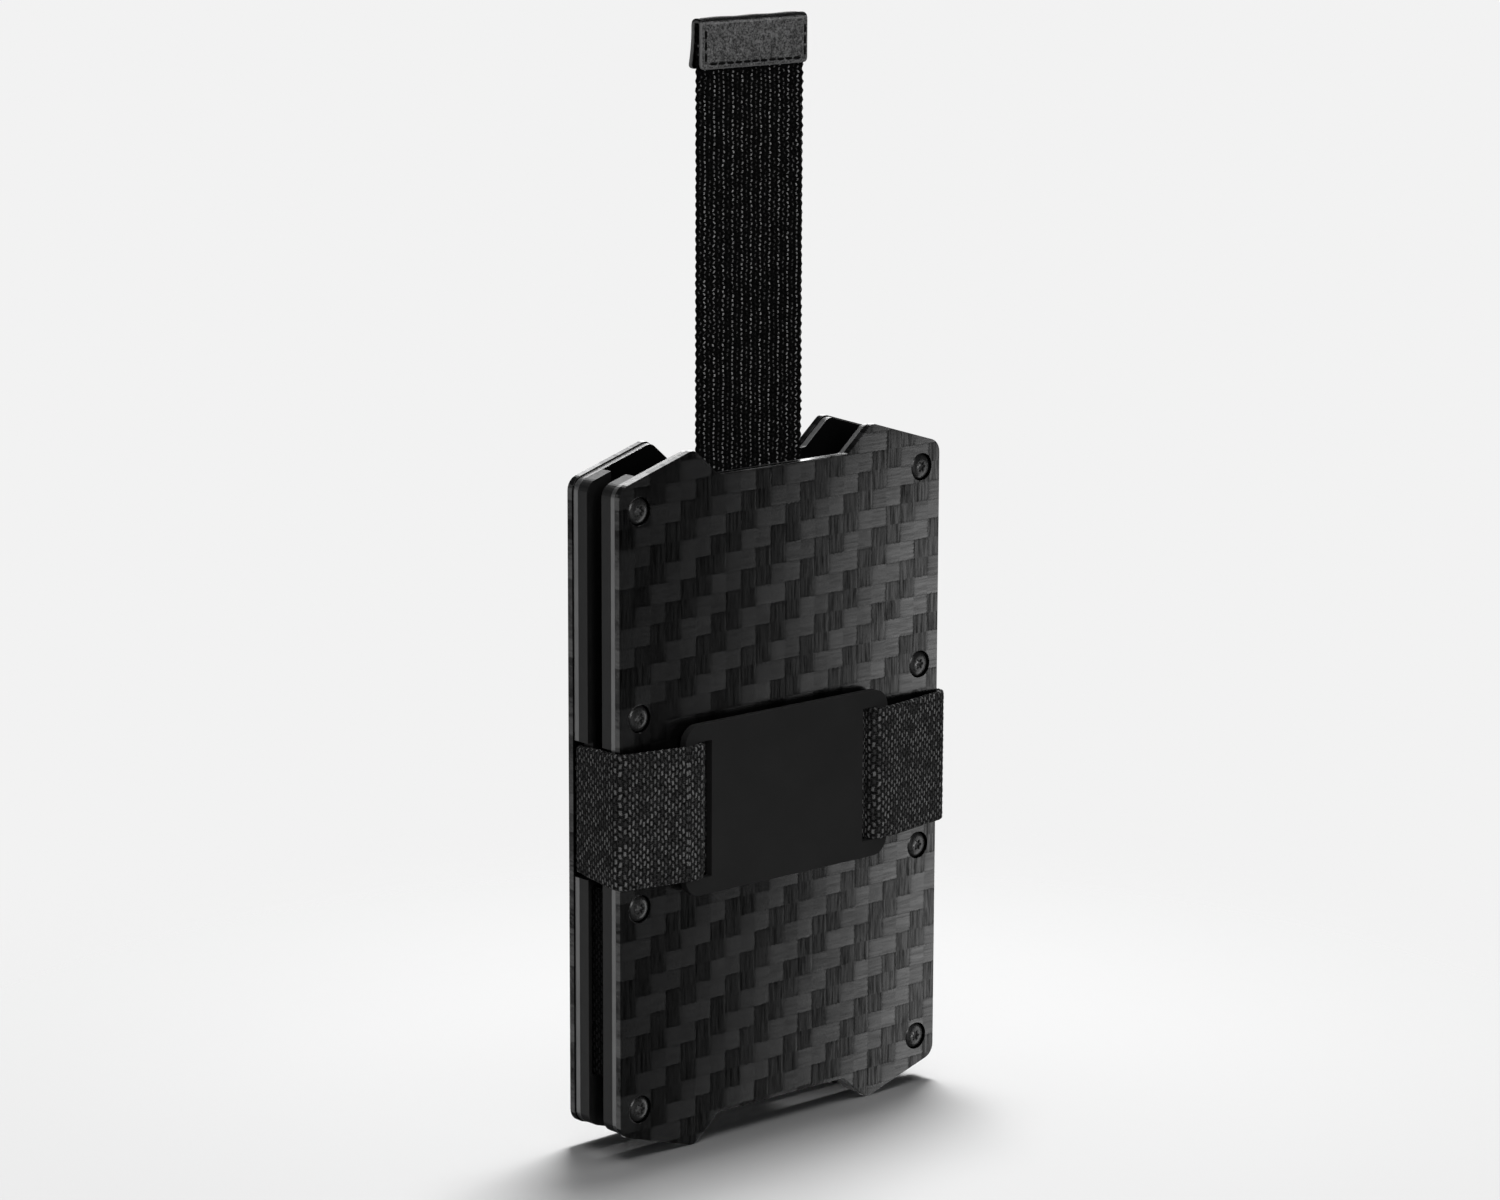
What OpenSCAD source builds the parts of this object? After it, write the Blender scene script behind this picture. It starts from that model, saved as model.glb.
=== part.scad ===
// Card wallet that holds its cards between two sprung plates, with a pull ribbon and a cash clip.
// +Z is up as the wallet stands on its ear tips, -Y is the front face, +X is to the right.
// Depths are measured backwards from the front face, and at_depth() turns one into a y value.

/* [Plates] */
// Width of a plate
plate_w = 64.2; // [60:0.1:70]
// Height of a plate from ear tip to ear tip
plate_h = 106; // [100:0.5:112]
// Height of the straight side edges
side_h = 97.7; // [92:0.1:99]
// Distance from the middle to an ear's tip
ear_x = 17.8; // [16:0.1:20]
// Half width of the notch floor
notch_x = 12.9; // [11.5:0.1:14]
// Depth of the notch below the ear tips
notch_depth = 3.95; // [3:0.05:5]
// Radius of the four outer corners
corner_r = 2.2; // [0.5:0.1:4]
// Radius of the ear tips
ear_r = 1.6; // [0.5:0.1:2.5]

/* [Layers] */
// Thickness of a carbon fibre cover
cover_t = 1.1; // [0.8:0.1:1.6]
// Thickness of an aluminium liner
liner_t = 1.1; // [0.8:0.1:1.6]
// Thickness of a frame
frame_t = 2.05; // [1.6:0.05:2.6]
// Gap between the two frames
gap_t = 3.3; // [2.8:0.1:5]
// Free width between the frame rails, for a 54 mm card
slot_w = 54.6; // [54.2:0.1:55.2]
// Height of the bottom rail that the cards stop on
rail_top = 10; // [8:0.5:12]

/* [Screws] */
// Distance from the middle to each column of screws
screw_x = 28.3; // [28.2:0.05:28.6]
// Distance between the outer rows of screws
screw_outer = 90.6; // [86:0.1:92]
// Distance between the inner rows of screws
screw_inner = 28.8; // [24:0.1:36]
// Diameter of a screw head
head_d = 4; // [3.6:0.1:4.4]
// Diameter of the thread
thread_d = 1.7; // [1.4:0.1:1.8]

/* [Side webs] */
// Thickness of an elastic side web
web_t = 0.8; // [0.6:0.1:1]
// Lowest point of a side web
web_low = 12; // [11:0.5:20]
// Highest point of a side web
web_high = 41; // [30:0.5:41.5]

/* [Cash band and clip] */
// Thickness of the elastic band
band_t = 0.9; // [0.7:0.1:1.1]
// Width of the elastic band
band_w = 20.6; // [18:0.1:22]
// Height of the band's middle line
band_mid = 52.45; // [48:0.05:56]
// Distance that the clip has slid along the band, to the right of the middle
clip_x = -1.1; // [-3:0.1:3]
// Width of the clip plate
clip_w = 40.8; // [38:0.1:44]
// Height of the clip plate
clip_h = 26; // [24:0.1:30]
// Thickness of the clip plate
clip_t = 1.3; // [0.8:0.1:1.6]
// Corner radius of the clip plate
clip_r = 2.8; // [1:0.1:4]
// Length of each tail of the band, clamped under the rear cover
tail_l = 11; // [8:0.5:14]
// Distance from the clip's middle to a slot's inner edge
clip_slot_x = 15.3; // [13:0.1:16]
// Width of a slot
clip_slot_w = 2.7; // [1.8:0.1:3]

/* [Pull ribbon] */
// Width of the ribbon
ribbon_w = 21; // [18:0.5:23]
// Thickness of the ribbon
ribbon_t = 0.8; // [0.6:0.1:1]
// Depth of the middle of the ribbon's fixed run
ribbon_front_depth = 2.8; // [2.75:0.05:3]
// Depth of the middle of the ribbon's pulled run
ribbon_rear_depth = 8; // [7.8:0.05:8.2]
// Height of the middle of the fold that lifts the cards
fold_z = 42.5; // [40:0.5:44]
// Lowest point of the leather tab
tab_low = 160.8; // [150:0.1:165]
// Height of the leather tab
tab_h = 7.2; // [6:0.1:10]
// Width of the leather tab
tab_w = 21; // [18:0.1:22]
// Thickness of the leather
leather_t = 0.9; // [0.8:0.1:1.1]

/* [Hidden] */

skin = 0.05;                                  // hairline space where soft pieces lie on hard ones
clear = 0.1;                                  // working clearance
body_t = 2 * (cover_t + liner_t + frame_t) + gap_t;
clip_gap = band_t + 6 * skin;                 // space behind the clip plate for the band
proud = clip_gap + clip_t + band_t + skin;    // how far the band stands in front of the cover
front_y = (proud - body_t) / 2;               // y of the front face
middle_z = plate_h / 2;
web_x = screw_x + 2.5;                        // middle of a side web
frame_inset = 0.2;                            // frames and liners stand this far inside the covers
screw_rows = [-screw_outer / 2, -screw_inner / 2, screw_inner / 2, screw_outer / 2];
anchor_h = 5.5;                               // height of the ribbon's fixed end
anchor_z = fold_z + 7.5;                      // lowest point of the ribbon's fixed end
stitch_gap = 1.7;                             // distance between stitches
side_recess = 1;                              // how far the frames are cut back under the band

colour_carbon = [0.10, 0.10, 0.11];
colour_liner = [0.42, 0.43, 0.44];
colour_frame = [0.13, 0.13, 0.14];
colour_screw = [0.05, 0.05, 0.05];
colour_elastic = [0.08, 0.08, 0.08];
colour_clip = [0.12, 0.12, 0.12];
colour_leather = [0.24, 0.24, 0.25];

function at_depth(d) = front_y + d;
function unit(v) = v / norm(v);
function before(p, i) = p[(i + len(p) - 1) % len(p)];
function after(p, i) = p[(i + 1) % len(p)];
function inward(a, b) = let (u = unit(b - a)) [-u[1], u[0]];

// Moves every side of an anticlockwise outline inwards by d
function shrunk(p, d) = [for (i = [0 : len(p) - 1])
    let (m = inward(before(p, i), p[i]), n = inward(p[i], after(p, i)))
    p[i] + d * (m + n) / (1 + m * n)];

// Rounds every corner of an outline with an arc of its own radius
function rounded(p, radii, steps = 6) = [for (i = [0 : len(p) - 1])
    let (u = unit(before(p, i) - p[i]), v = unit(after(p, i) - p[i]),
         half = acos(u * v) / 2,
         centre = p[i] + unit(u + v) * radii[i] / sin(half),
         a = p[i] + u * radii[i] / tan(half) - centre,
         b = p[i] + v * radii[i] / tan(half) - centre,
         start = atan2(a[1], a[0]),
         raw = atan2(b[1], b[0]) - start,
         turn = raw > 180 ? raw - 360 : raw < -180 ? raw + 360 : raw)
    for (k = [0 : steps])
        centre + radii[i] * [cos(start + turn * k / steps), sin(start + turn * k / steps)]];

// An ear's tip is drawn a little beyond the plate's height, so that its rounded end reaches it
ear_half_angle = (180 - atan((plate_h - side_h) / 2 / (plate_w / 2 - ear_x))
                      - atan(notch_depth / (ear_x - notch_x))) / 2;
ear_tip = ear_r * (1 / sin(ear_half_angle) - 1);

plate_points = let (w = plate_w / 2, low = (plate_h - side_h) / 2, top = plate_h)
    [[w, low], [w, top - low], [ear_x, top + ear_tip], [notch_x, top - notch_depth],
     [-notch_x, top - notch_depth], [-ear_x, top + ear_tip], [-w, top - low], [-w, low],
     [-ear_x, -ear_tip], [-notch_x, notch_depth], [notch_x, notch_depth], [ear_x, -ear_tip]];
plate_radii = [corner_r, corner_r, ear_r, 0.8, 0.8, ear_r, corner_r, corner_r, ear_r, 0.8, 0.8, ear_r];

// Stands a drawing in the XZ plane up between two depths
module between(from, to) {
    translate([0, at_depth(to), 0]) rotate([90, 0, 0]) linear_extrude(to - from) children();
}

module drilled(x, z, from, to, r) {
    translate([x, at_depth(to), z]) rotate([90, 0, 0]) cylinder(h = to - from, r = r, $fn = 48);
}

module at_screws() {
    for (side = [-1, 1], row = screw_rows) translate([side * screw_x, 0, middle_z + row]) children();
}

module outline(inset) {
    polygon(rounded(shrunk(plate_points, inset), plate_radii));
}

// A carbon fibre plate with a pocket right through it for each screw head
module cover(from) {
    difference() {
        between(from, from + cover_t) outline(0);
        at_screws() drilled(0, 0, from - 1, from + cover_t + 1, head_d / 2 + clear);
    }
}

// An aluminium sheet behind the cover, with clearance holes for the screws
module liner(from) {
    difference() {
        between(from, from + liner_t) outline(frame_inset);
        at_screws() drilled(0, 0, from - 1, from + liner_t + 1, thread_d / 2 + clear);
    }
}

// The space that the band needs at both sides, at least as far out as from the middle
module band_space(from) {
    for (side = [-1, 1]) translate([side * (from + plate_w / 2) - plate_w / 2, band_mid - band_w / 2 - clear])
        square([plate_w, band_w + 2 * clear]);
}

// A U-shaped frame that is open at the top, with a through groove for a web in each rail
module frame(from) {
    groove = web_t + 2 * clear;
    difference() {
        between(from, from + frame_t) outline(frame_inset);
        between(from - 1, from + frame_t + 1)
            translate([-slot_w / 2, rail_top]) square([slot_w, plate_h]);
        at_screws() drilled(0, 0, from - 1, from + frame_t + 1, thread_d / 2 + skin);
        for (side = [-1, 1]) between(from - 1, from + frame_t + 1)
            translate([side * web_x - groove / 2, web_low - clear])
                square([groove, web_high - web_low + 2 * clear]);
        between(from - 1, from + frame_t + 1) band_space(plate_w / 2 - frame_inset - side_recess);
    }
}

// One screw with its head outwards at depth 0 and its thread running backwards
module screw() {
    head_h = cover_t - clear;
    thread_h = liner_t + frame_t - clear;
    socket_r = 0.62;
    rotate([-90, 0, 0]) difference() {
        union() {
            translate([0, 0, clear]) cylinder(h = head_h, d = head_d, $fn = 48);
            translate([0, 0, cover_t]) cylinder(h = thread_h, d = thread_d, $fn = 32);
        }
        translate([0, 0, -clear]) cylinder(h = 0.9, r = socket_r, $fn = 24);
        for (lobe = [0 : 5]) rotate(60 * lobe) translate([socket_r, 0, -clear])
            cylinder(h = 0.9, r = 0.24, $fn = 16);
    }
}

module front_cover() { color(colour_carbon) cover(0); }

// The front liner has a window for the ribbon's fixed end
module front_liner() {
    color(colour_liner) difference() {
        liner(cover_t);
        between(0, cover_t + liner_t + 1) translate([-ribbon_w / 2 - clear, anchor_z - clear])
            square([ribbon_w + 2 * clear, anchor_h + 2 * clear]);
    }
}

module front_frame() { color(colour_frame) frame(cover_t + liner_t); }

module front_screws() {
    color(colour_screw) at_screws() translate([0, at_depth(0), 0]) screw();
}

module rear_cover() { color(colour_carbon) cover(body_t - cover_t); }

// The rear liner is cut away at both sides for the band's tails
module rear_liner() {
    from = body_t - cover_t - liner_t;
    color(colour_liner) difference() {
        liner(from);
        between(from - 1, body_t) band_space(plate_w / 2 - tail_l - clear);
    }
}

module rear_frame() { color(colour_frame) frame(body_t - cover_t - liner_t - frame_t); }

module rear_screws() {
    color(colour_screw) at_screws() translate([0, at_depth(body_t), 0]) rotate(180) screw();
}

// An elastic strip that closes one side of the gap, with a hem in each frame's groove
module web(side) {
    hem_space = cover_t + liner_t + clear;
    color(colour_elastic) translate([side * web_x - web_t / 2, at_depth(hem_space), web_low])
        cube([web_t, body_t - 2 * hem_space - 1, web_high - web_low]);
}

module left_web() { web(-1); }

module right_web() { web(1); }

module clip_plate() {
    slot_h = band_w + 2 * clear;
    corners = [[clip_w / 2, clip_h / 2], [-clip_w / 2, clip_h / 2],
               [-clip_w / 2, -clip_h / 2], [clip_w / 2, -clip_h / 2]];
    color(colour_clip) difference() {
        translate([clip_x, 0, band_mid]) between(-clip_gap - clip_t, -clip_gap)
            polygon(rounded(corners, [clip_r, clip_r, clip_r, clip_r], 8));
        for (side = [-1, 1]) translate([clip_x, 0, band_mid]) between(-clip_gap - clip_t - 1, 0)
            translate([side * (clip_slot_x + clip_slot_w / 2), 0]) offset(0.1, $fn = 24)
                square([clip_slot_w - 0.2, slot_h - 0.2], center = true);
    }
}

// A run of band drawn in plan as a closed outline
module band_run(plan) {
    color(colour_elastic) translate([0, 0, band_mid - band_w / 2]) linear_extrude(band_w) polygon(plan);
}

// The run behind the clip plate, which comes out through both slots and lies on the plate's ends
module band_clip_run() {
    hole = clip_slot_x + clip_slot_w;
    back = at_depth(-2 * skin);
    face = at_depth(-clip_gap - clip_t - skin);
    inner = hole - 2 * skin - band_t;
    translate([clip_x, 0, 0]) band_run(concat(
        [[inner, face - band_t], [clip_w / 2, face - band_t], [clip_w / 2, face], [hole - 2 * skin, face],
         [hole - 2 * skin, back], [-hole + 2 * skin, back], [-hole + 2 * skin, face],
         [-clip_w / 2, face], [-clip_w / 2, face - band_t], [-inner, face - band_t],
         [-inner, back - band_t], [inner, back - band_t]]));
}

// The slanted run from the clip plate's end to the plate's edge
module band_front(side) {
    start = clip_w / 2 + skin + side * clip_x;
    end = plate_w / 2 + skin;
    high = at_depth(-clip_gap - clip_t - skin);
    low = at_depth(-skin);
    band_run([[side * start, high], [side * start, high - band_t],
              [side * (end - 1), low - band_t], [side * end, low - band_t], [side * end, low]]);
}

module band_front_left() { band_front(-1); }

module band_front_right() { band_front(1); }

// The run across one side of the wallet, which narrows in from the front cover to under the rear one
module band_side(side) {
    front_in = plate_w / 2 + 3 * skin;
    rear_in = plate_w / 2 - skin - band_t;
    front = at_depth(-skin - band_t);
    rear = at_depth(body_t - cover_t - 3 * skin - band_t);
    r = band_t * 0.9;
    arc = [for (a = [0 : 15 : 90]) [r * sin(a), r * (1 - cos(a))]];
    band_run(concat(
        [for (p = arc) [side * (front_in + band_t - r + p[0]), front + p[1]]],
        [[side * (rear_in + band_t), rear], [side * rear_in, rear],
         [side * front_in, at_depth(cover_t + skin)], [side * front_in, front]]));
}

module band_left_side() { band_side(-1); }

module band_right_side() { band_side(1); }

// The band's end, clamped between the rear cover and the rear frame's rail
module band_tail(side) {
    outer = plate_w / 2 - skin;
    inner = plate_w / 2 - tail_l;
    near = at_depth(body_t - cover_t - skin - band_t);
    band_run([[side * inner, near], [side * outer, near],
              [side * outer, near + band_t], [side * inner, near + band_t]]);
}

module band_left_tail() { band_tail(-1); }

module band_right_tail() { band_tail(1); }

// The ribbon's fixed end, glued to the cover inside the liner's window
module ribbon_anchor() {
    color(colour_elastic) between(cover_t, cover_t + liner_t)
        translate([-ribbon_w / 2, anchor_z]) square([ribbon_w, anchor_h]);
}

module ribbon_front() {
    half = ribbon_t / 2;
    color(colour_elastic) between(ribbon_front_depth - half, ribbon_front_depth + half)
        translate([-ribbon_w / 2, fold_z]) square([ribbon_w, anchor_z + anchor_h - fold_z]);
}

// The half turn under the cards
module ribbon_fold() {
    mid = (ribbon_front_depth + ribbon_rear_depth) / 2;
    r = (ribbon_rear_depth - ribbon_front_depth) / 2;
    color(colour_elastic) translate([-ribbon_w / 2, at_depth(mid), fold_z]) rotate([0, 90, 0])
        difference() {
            cylinder(h = ribbon_w, r = r + ribbon_t / 2, $fn = 64);
            translate([0, 0, -1]) cylinder(h = ribbon_w + 2, r = r - ribbon_t / 2, $fn = 64);
            translate([-2 * r, -2 * r, -1]) cube([2 * r, 4 * r, ribbon_w + 2]);
        }
}

module ribbon_rear() {
    half = ribbon_t / 2;
    color(colour_elastic) between(ribbon_rear_depth - half, ribbon_rear_depth + half)
        translate([-ribbon_w / 2, fold_z])
            square([ribbon_w, tab_low + tab_h - leather_t - clear - fold_z]);
}

// Leather folded over the ribbon's end, with a rounded fold along the top
module tab_leather() {
    r = leather_t + ribbon_t / 2 + skin;
    inner = ribbon_t / 2 + skin;
    arc = [for (a = [0 : 15 : 180]) [r * cos(a), tab_h - r + r * sin(a)]];
    color(colour_leather) translate([-tab_w / 2, at_depth(ribbon_rear_depth), tab_low])
        rotate([90, 0, 90]) linear_extrude(tab_w)
            polygon(concat([[inner, 0], [r, 0]], arc,
                           [[-r, 0], [-inner, 0], [-inner, tab_h - leather_t], [inner, tab_h - leather_t]]));
}

// Stitches along the sides and the lower edge of both leather flaps
module tab_stitching() {
    margin = 0.9;
    long = 1.1;
    thin = 0.25;
    across = floor((tab_w - 2 * margin) / stitch_gap);
    up = floor((tab_h - 2 * margin) / stitch_gap);
    r = leather_t + ribbon_t / 2 + skin;
    color(colour_screw) for (face = [-r - thin, r])
        translate([0, at_depth(ribbon_rear_depth) + face, tab_low + margin]) {
            for (i = [0 : across - 1])
                translate([(i - (across - 1) / 2) * stitch_gap - long / 2, 0, -thin / 2])
                    cube([long, thin, thin]);
            for (side = [-1, 1], i = [0 : up - 1])
                translate([side * (tab_w / 2 - margin) - thin / 2, 0, (i + 0.5) * stitch_gap - long / 2])
                    cube([thin, thin, long]);
        }
}

front_cover();
front_liner();
front_frame();
front_screws();
rear_cover();
rear_liner();
rear_frame();
rear_screws();
left_web();
right_web();
clip_plate();
band_clip_run();
band_front_left();
band_front_right();
band_left_side();
band_right_side();
band_left_tail();
band_right_tail();
ribbon_anchor();
ribbon_front();
ribbon_fold();
ribbon_rear();
tab_leather();
tab_stitching();
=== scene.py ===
"""The card wallet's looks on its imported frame: woven band and ribbon, leather, carbon and metal."""
import math

import bmesh
import bpy
import numpy as np
from mathutils import Matrix, Vector


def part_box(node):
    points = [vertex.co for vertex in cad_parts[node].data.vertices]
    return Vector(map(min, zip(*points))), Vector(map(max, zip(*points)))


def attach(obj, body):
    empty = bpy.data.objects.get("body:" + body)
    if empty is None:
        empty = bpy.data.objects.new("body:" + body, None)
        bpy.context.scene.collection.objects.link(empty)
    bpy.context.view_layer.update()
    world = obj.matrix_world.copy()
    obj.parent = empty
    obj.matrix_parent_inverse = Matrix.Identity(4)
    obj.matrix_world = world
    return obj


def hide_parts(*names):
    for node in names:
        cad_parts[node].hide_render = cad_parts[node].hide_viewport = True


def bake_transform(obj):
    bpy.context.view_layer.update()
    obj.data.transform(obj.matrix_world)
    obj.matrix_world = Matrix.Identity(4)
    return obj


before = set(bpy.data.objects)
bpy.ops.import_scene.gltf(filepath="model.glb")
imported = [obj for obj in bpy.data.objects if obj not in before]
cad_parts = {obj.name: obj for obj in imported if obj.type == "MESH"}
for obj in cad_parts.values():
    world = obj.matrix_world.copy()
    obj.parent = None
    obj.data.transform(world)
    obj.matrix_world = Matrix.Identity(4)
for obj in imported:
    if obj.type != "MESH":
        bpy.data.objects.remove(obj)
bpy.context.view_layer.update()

MM = 0.001

# ---------------------------------------------------------------- places, all taken from the frame

COVER_LOW, COVER_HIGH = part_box("front_cover")
REAR_COVER_LOW, REAR_COVER_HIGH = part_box("rear_cover")
CLIP_LOW, CLIP_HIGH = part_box("clip_plate")
RUN_LOW, RUN_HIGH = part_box("band_clip_run")
TAIL_LOW, TAIL_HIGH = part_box("band_left_tail")
RIBBON_LOW, RIBBON_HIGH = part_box("ribbon_rear")
RIBBON_FRONT_LOW, RIBBON_FRONT_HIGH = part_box("ribbon_front")
FOLD_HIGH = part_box("ribbon_fold")[1]
ANCHOR_LOW, ANCHOR_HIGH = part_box("ribbon_anchor")
TAB_LOW, TAB_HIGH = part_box("tab_leather")
WEB_LOW, WEB_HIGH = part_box("right_web")

FACE_Y = COVER_LOW.y                      # the front face
PLATE_HALF = COVER_HIGH.x
PLATE_MID_Z = (COVER_LOW.z + COVER_HIGH.z) / 2
BAND_MID_Z = (RUN_LOW.z + RUN_HIGH.z) / 2
BAND_HALF = (RUN_HIGH.z - RUN_LOW.z) / 2
BAND_T = TAIL_HIGH.y - TAIL_LOW.y
RIBBON_T = RIBBON_HIGH.y - RIBBON_LOW.y
RIBBON_HALF = RIBBON_HIGH.x
WEB_X = (WEB_LOW.x + WEB_HIGH.x) / 2


# ---------------------------------------------------------------- camera, light and floor

def add_camera():
    """The camera looks down a little, from the wallet's front left."""
    azimuth, elevation, roll = math.radians(-41.74), math.radians(11.78), math.radians(0.19)
    distance = 0.701
    back = Vector((math.sin(azimuth) * math.cos(elevation),
                   -math.cos(azimuth) * math.cos(elevation), math.sin(elevation)))
    level = Vector((math.cos(azimuth), math.sin(azimuth), 0))
    right = math.cos(roll) * level + math.sin(roll) * back.cross(level)
    up = back.cross(right)
    aim = Vector((0, FACE_Y, PLATE_MID_Z)) - 4.94 * MM * right + 27.75 * MM * up
    data = bpy.data.cameras.new("camera")
    data.sensor_width = 36
    data.lens = 111.5
    data.clip_start = 0.01
    camera = bpy.data.objects.new("camera", data)
    camera.location = aim + back * distance
    camera.rotation_euler = Matrix((right, up, back)).transposed().to_euler()
    bpy.context.scene.collection.objects.link(camera)
    bpy.context.scene.camera = camera


def add_area(name, place, look_at, size, power, skip=None, only=()):
    """A soft rectangular light. It neither lights nor is shaded by the object in skip, and lights
    nothing but the objects in only, where there are any."""
    data = bpy.data.lights.new(name, "AREA")
    data.shape = "RECTANGLE"
    data.size, data.size_y = size
    data.energy = power
    light = bpy.data.objects.new(name, data)
    light.location = place
    light.rotation_euler = (Vector(place) - Vector(look_at)).to_track_quat("Z", "Y").to_euler()
    light.visible_camera = False
    bpy.context.scene.collection.objects.link(light)
    if skip:
        for role in ("receiver_collection", "blocker_collection"):
            group = bpy.data.collections.new(f"{name}_{role}")
            group.objects.link(skip)
            setattr(light.light_linking, role, group)
            group.collection_objects[0].light_linking.link_state = "EXCLUDE"
    if only:
        group = bpy.data.collections.new(f"{name}_lights")
        for obj in only:
            group.objects.link(obj)
        light.light_linking.receiver_collection = group


def add_world():
    """An even background that looks paler than the light it gives."""
    world = bpy.data.worlds.new("studio")
    bpy.context.scene.world = world
    world.use_nodes = True
    nodes, links = world.node_tree.nodes, world.node_tree.links
    nodes.clear()
    output = nodes.new("ShaderNodeOutputWorld")
    mix = nodes.new("ShaderNodeMixShader")
    path = nodes.new("ShaderNodeLightPath")
    dim, bright = nodes.new("ShaderNodeBackground"), nodes.new("ShaderNodeBackground")
    dim.inputs["Color"].default_value = (0.95, 0.97, 1.0, 1)
    dim.inputs["Strength"].default_value = 0.05
    bright.inputs["Color"].default_value = (0.888, 0.888, 0.888, 1)
    links.new(path.outputs["Is Camera Ray"], mix.inputs[0])
    links.new(dim.outputs[0], mix.inputs[1])
    links.new(bright.outputs[0], mix.inputs[2])
    links.new(mix.outputs[0], output.inputs["Surface"])


def add_floor():
    """A disc that carries the wallet's shadow and isn't mirrored in it."""
    size = 1.2
    mesh = bpy.data.meshes.new("floor")
    rings, turns = 12, 48
    points = [(0, 0, 0)]
    points += [(size * r / rings * math.cos(2 * math.pi * k / turns),
                size * r / rings * math.sin(2 * math.pi * k / turns), 0)
               for r in range(1, rings + 1) for k in range(turns)]
    faces = [(0, 1 + k, 1 + (k + 1) % turns) for k in range(turns)]
    for r in range(rings - 1):
        a, b = 1 + r * turns, 1 + (r + 1) * turns
        faces += [(a + k, b + k, b + (k + 1) % turns, a + (k + 1) % turns) for k in range(turns)]
    mesh.from_pydata(points, [], faces)
    floor = bpy.data.objects.new("floor", mesh)
    bpy.context.scene.collection.objects.link(floor)
    floor.visible_glossy = False
    floor.data.materials.append(floor_material(0.06, 0.19))
    return floor


def add_lights(floor):
    """Soft lights overhead and around. The plates are glossy, so they have cards of their own to mirror."""
    mid = (0, 0, 0.06)
    sides = ("front", "rear")
    covers = [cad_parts[f"{side}_cover"] for side in sides]
    inner = [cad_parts[f"{side}_{sheet}"] for side in sides for sheet in ("liner", "frame")]
    heads = [bpy.data.objects[f"{side}_screw_heads"] for side in sides]
    glossy = covers + heads[:1]
    plates = covers + inner + heads
    add_area("key_light", (0.085, 0.07, 0.50), (0, 0, 0), (0.12, 0.12), 2.4)
    add_area("overhead_fill", (0, 0, 1.1), (0, 0, 0), (1.2, 1.2), 3.6)
    add_area("top_edge_light", (0.36, -0.16, 0.50), mid, (0.12, 0.12), 0.35, skip=floor)
    add_area("front_left_light", (-0.30, -0.84, 0.42), mid, (0.30, 0.50), 3.6, skip=floor)
    add_area("right_card", (0.252, -0.177, -0.070), (0.028, 0.044, 0.0), (0.10, 0.26), 0.24,
             skip=floor, only=glossy)
    add_area("left_rear_card", (-0.30, 0.29, -0.02), (0, 0, 0.05), (0.20, 0.45), 0.24, skip=floor)
    add_area("rear_light", (0.42, 0.62, 0.30), mid, (0.35, 0.5), 2.6, skip=floor)
    for name, place, power in (("front", (0.05, -0.80, -0.12), 0.45), ("left", (-0.75, -0.02, -0.06), 0.6),
                               ("right", (0.75, 0.05, -0.06), 0.9), ("rear", (0.10, 0.80, -0.12), 0.9),
                               ("rear_right", (0.50, 0.48, -0.14), 0.9)):
        add_area(f"{name}_soft_card", place, mid, (0.5, 0.5), power, skip=floor, only=plates)


def floor_material(solid_radius, clear_radius):
    """Matt pale floor that turns clear away from the wallet, so that no horizon shows."""
    mat = bpy.data.materials.new("floor")
    mat.use_nodes = True
    tree = mat.node_tree
    tree.nodes.clear()
    out = tree.nodes.new("ShaderNodeOutputMaterial")
    mix = tree.nodes.new("ShaderNodeMixShader")
    diffuse = tree.nodes.new("ShaderNodeBsdfDiffuse")
    diffuse.inputs["Color"].default_value = (0.80, 0.80, 0.80, 1)
    clear = tree.nodes.new("ShaderNodeBsdfTransparent")
    where = tree.nodes.new("ShaderNodeNewGeometry")
    length = tree.nodes.new("ShaderNodeVectorMath")
    length.operation = "LENGTH"
    fade = tree.nodes.new("ShaderNodeMapRange")
    fade.interpolation_type = "SMOOTHSTEP"
    fade.inputs["From Min"].default_value = solid_radius
    fade.inputs["From Max"].default_value = clear_radius
    tree.links.new(where.outputs["Position"], length.inputs[0])
    tree.links.new(length.outputs["Value"], fade.inputs["Value"])
    tree.links.new(fade.outputs[0], mix.inputs[0])
    tree.links.new(diffuse.outputs[0], mix.inputs[1])
    tree.links.new(clear.outputs[0], mix.inputs[2])
    tree.links.new(mix.outputs[0], out.inputs["Surface"])
    return mat


# ---------------------------------------------------------------- material helpers

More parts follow.
